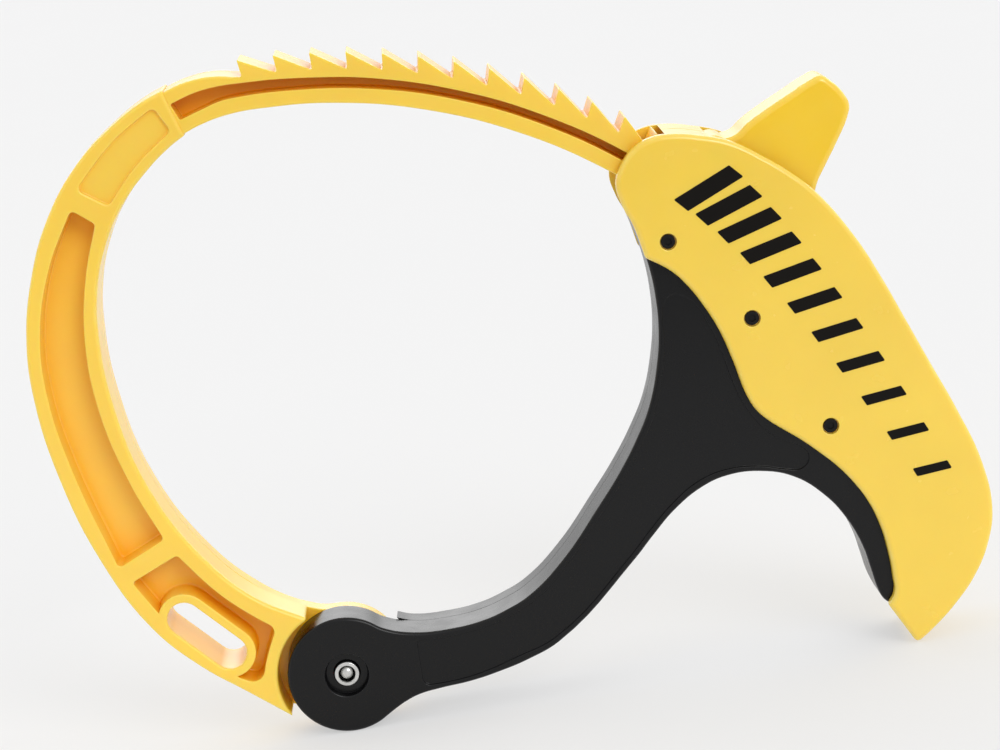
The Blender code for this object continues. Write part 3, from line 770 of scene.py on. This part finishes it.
def turned_up(point, degrees):
    """A front-view point turned anticlockwise about the lever's axis."""
    a = math.radians(degrees)
    dx, dz = point[0] - LEVER_AT[0], point[1] - LEVER_AT[1]
    x = LEVER_AT[0] + dx * math.cos(a) - dz * math.sin(a)
    z = LEVER_AT[1] + dx * math.sin(a) + dz * math.cos(a)
    return (x, z)


def make_lever():
    """Thumb lever with well rounded edges, the pawl and a round hub under it, and room for the spring."""
    rounding = [round_edge(sign * LEVER_Y, -sign, LEVER_ROUND, 0.0, 8) for sign in (-1, 1)]
    lever = prism("lever_shell", outline(LEVER_EDGE), rounding[0] + rounding[1][::-1])
    pawl = [turned_up(polar(radius, angle), PAWL_UP) + (corner,) for radius, angle, corner in
            ((164.0, 51.0, 0.0), (159.4, 51.0, 0.5), (155.6, 50.6, 0.3), (155.75, 50.2, 0.3),
             (159.3, 47.4, 0.5), (164.0, 47.0, 0.0))]
    side, hub_y = LEVER_Y - 0.5, LEVER_Y - 0.1
    hub = [(0.0, -hub_y), (3.5, -hub_y), (3.85, 0.15 - hub_y), (4.0, 0.5 - hub_y)]
    hub += [(radius, -y) for radius, y in hub[::-1]]
    join(lever, prism("pawl", outline(pawl), [(0.0, -side), (0.0, side)]), turned("hub", hub, LEVER_AT))
    spring_room = [(0.0, 5.6), (4.3, 5.6), (4.3, THROUGH), (0.0, THROUGH)]
    cut(lever, turned("bore", through(PIN_HOLE_R), LEVER_AT, 32),
        turned("spring_room", spring_room, LEVER_AT, 48))
    shade(lever)
    settle(lever, LEVER_YELLOW, "lever_body", "lever", "lever")


# ---------------------------------------------------------------- hardware

def make_pivot():
    """Sleeve barrel, the screw in it with a domed end in front and its head behind, and a washer."""
    barrel = [(2.15, -8.0), (2.3, -8.2), (2.95, -8.2), (3.1, -8.12), (3.2, -7.95), (3.2, 9.4), (2.15, 9.4)]
    fitting(turned("pivot_barrel_ring", barrel), STEEL, "steel", "pivot_barrel")
    quarter = [math.radians(angle) for angle in range(0, 91, 10)]
    screw = [(1.7 * math.sin(a), -7.75 + 1.15 * (1 - math.cos(a))) for a in quarter]
    screw += [(1.7, 10.4), (5.4, 10.4), (5.4, 11.3), (5.2, 11.8), (4.6, 12.2), (4.3, 12.3), (2.4, 12.3),
              (2.2, 12.1), (2.2, 11.2), (0.0, 11.2)]
    fitting(turned("pivot_screw_body", screw), STEEL, "steel", "pivot_screw")
    washer = [(3.5, 9.2), (3.6, 9.1), (6.65, 9.1), (6.8, 9.25), (6.8, 9.95), (6.65, 10.1), (3.6, 10.1),
              (3.5, 10.0)]
    fitting(turned("pivot_washer_ring", washer), STEEL, "steel", "pivot_washer")


def make_cover_screws():
    """Black socket screws through the handle, each in a hexagonal nut in the rear cover."""
    shank = [(0.0, -11.7), (1.55, -11.7), (1.7, -11.65), (1.8, -11.5), (1.8, -11.2), (1.2, -11.2),
             (1.2, 11.9), (1.1, 12.0), (0.0, 12.0)]
    socket = [(0.0, -THROUGH), (1.0, -THROUGH), (1.0, -11.25), (0.0, -11.25)]
    hexagon = [(1.5, 10.7), (2.9, 10.7), (3.05, 10.85), (3.05, 11.9), (2.9, 12.1), (1.5, 12.1)]
    for i, at in enumerate(SCREWS, start=1):
        centre = polar(*at)
        screw = turned("cover_screw_%d_body" % i, shank, centre, 48)
        cut(screw, turned("socket", socket, centre, 6))
        fitting(screw, BLACK_SCREW, "black_screw", "cover_screw_%d" % i)
        nut = turned("cover_nut_%d_body" % i, hexagon, centre, 6)
        fitting(nut, STEEL, "steel", "cover_nut_%d" % i, sharp=20.0)


def dress_packed_nodes():
    """Steel on the lever's pin and spring, which are shown as the frame has them."""
    for node, material in (("lever_pin", STEEL), ("lever_spring", SPRING_STEEL)):
        for material_slot in frame["nodes"][node].material_slots:
            material_slot.material = material


# ---------------------------------------------------------------- studio

WHITE = (1.0, 1.0, 1.0, 1.0)
FLOOR_WHITE = (0.37, 0.37, 0.371, 1.0)
# light levels: table, surround in front and behind, low band behind, below the table's edge, sun
FLOOR_GLOW, FRONT, AMBIENT, BACK_BAND, DARK_ROOM, KEY = 0.48, 0.79, 0.9, 2.9, 0.08, 0.98
KEY_WAY, KEY_SPREAD = Vector((-0.42, 0.8, -0.52)), 28.0
CAMERA_AT = (-0.0085, -0.6939, 0.2296)
CAMERA_HEADING, CAMERA_DOWN, CAMERA_ROLL = -0.598, 11.841, -9.069    # degrees
LENS = 100.8                 # millimetres, on a 36 mm wide sensor


def make_floor():
    """Pale translucent table, lit a little from below; it ends below the camera and curves up far behind."""
    bm = bmesh.new()
    half, front, back, rise, radius, steps = 12.0, -0.65, 10.0, 0.5, 0.4, 12
    path = [(front, 0.0), (back, 0.0)]
    quarter = [math.radians(90 * k / steps) for k in range(1, steps + 1)]
    path += [(back + radius * math.sin(a), radius * (1 - math.cos(a))) for a in quarter]
    path.append((back + radius, rise))
    rows = [[bm.verts.new((x, y, z)) for x in (-half, half)] for y, z in path]
    for near, far in zip(rows, rows[1:]):
        bm.faces.new((near[0], near[1], far[1], far[0]))
    floor = to_object("studio_floor", bm)
    floor.data.shade_smooth()
    made = Recipe("paper_floor")
    mottle = made.ranged(made.noise(400.0), 0.0, 1.0)
    made.link(made.mixed(mottle, FLOOR_WHITE, dimmed(FLOOR_WHITE, 0.99)), made.shader.inputs["Base Color"])
    made.shader.inputs["Roughness"].default_value = 0.9
    made.shader.inputs["Specular IOR Level"].default_value = 0.0
    made.shader.inputs["Emission Color"].default_value = WHITE
    made.shader.inputs["Emission Strength"].default_value = FLOOR_GLOW
    floor.data.materials.append(made.material)


def make_world():
    """White surround: a little darker in front, a low bright band behind, dark below the table's edge."""
    world = bpy.data.worlds.new("studio")
    world.use_nodes = True
    tree = world.node_tree
    direction = tree.nodes.new("ShaderNodeTexCoord").outputs["Generated"]
    axes = tree.nodes.new("ShaderNodeSeparateXYZ")
    tree.links.new(direction, axes.inputs["Vector"])

    def step(axis, low, high, level_low=0.0, level_high=1.0):
        """Smooth ramp between two levels along a world axis."""
        node = tree.nodes.new("ShaderNodeMapRange")
        node.interpolation_type = "SMOOTHSTEP"
        node.inputs["From Min"].default_value = low
        node.inputs["From Max"].default_value = high
        node.inputs["To Min"].default_value = level_low
        node.inputs["To Max"].default_value = level_high
        tree.links.new(axes.outputs[axis], node.inputs["Value"])
        return node.outputs["Result"]

    def maths(operation, a, b):
        """Two values put together."""
        node = tree.nodes.new("ShaderNodeMath")
        node.operation = operation
        tree.links.new(a, node.inputs[0])
        tree.links.new(b, node.inputs[1])
        return node.outputs["Value"]

    softbox = maths("MULTIPLY", step("Y", 0.2, 0.8, 0.0, BACK_BAND), step("Z", 0.06, 0.42))
    softbox = maths("MULTIPLY", softbox, step("Z", 0.35, 0.6, 1.0, 0.0))
    surround = maths("ADD", softbox, step("Y", -0.7, 0.3, FRONT, AMBIENT))
    strength = maths("MULTIPLY", surround, step("Z", -0.1, 0.0, DARK_ROOM, 1.0))
    tree.links.new(strength, tree.nodes["Background"].inputs["Strength"])
    tree.nodes["Background"].inputs["Color"].default_value = WHITE
    bpy.context.scene.world = world


def make_sun():
    """Large soft key light from the upper right in front, which shades the pockets on that side."""
    data = bpy.data.lights.new("key", "SUN")
    data.energy = KEY
    data.angle = math.radians(KEY_SPREAD)
    light = bpy.data.objects.new("key", data)
    light.rotation_euler = KEY_WAY.to_track_quat("-Z", "Y").to_euler()
    bpy.context.scene.collection.objects.link(light)


def make_studio():
    """Floor, surround and key light, with plain colour output."""
    make_floor()
    make_world()
    make_sun()
    bpy.context.scene.view_settings.view_transform = "Standard"


def make_camera():
    """Long lens from the front, looking a little down, and rolled."""
    data = bpy.data.cameras.new("camera")
    data.sensor_width = 36.0
    data.lens = LENS
    data.clip_start = 0.01
    camera = bpy.data.objects.new("camera", data)
    turn = (Matrix.Rotation(math.radians(CAMERA_HEADING), 4, "Z") @
            Matrix.Rotation(math.radians(90.0 - CAMERA_DOWN), 4, "X") @
            Matrix.Rotation(math.radians(CAMERA_ROLL), 4, "Z"))
    camera.matrix_world = Matrix.Translation(CAMERA_AT) @ turn
    bpy.context.scene.collection.objects.link(camera)
    bpy.context.scene.camera = camera


make_camera()
make_jaw()
make_frame()
make_cover("front", -1)
make_cover("rear", 1)
make_print()
make_lever()
make_pivot()
make_cover_screws()
dress_packed_nodes()
make_studio()
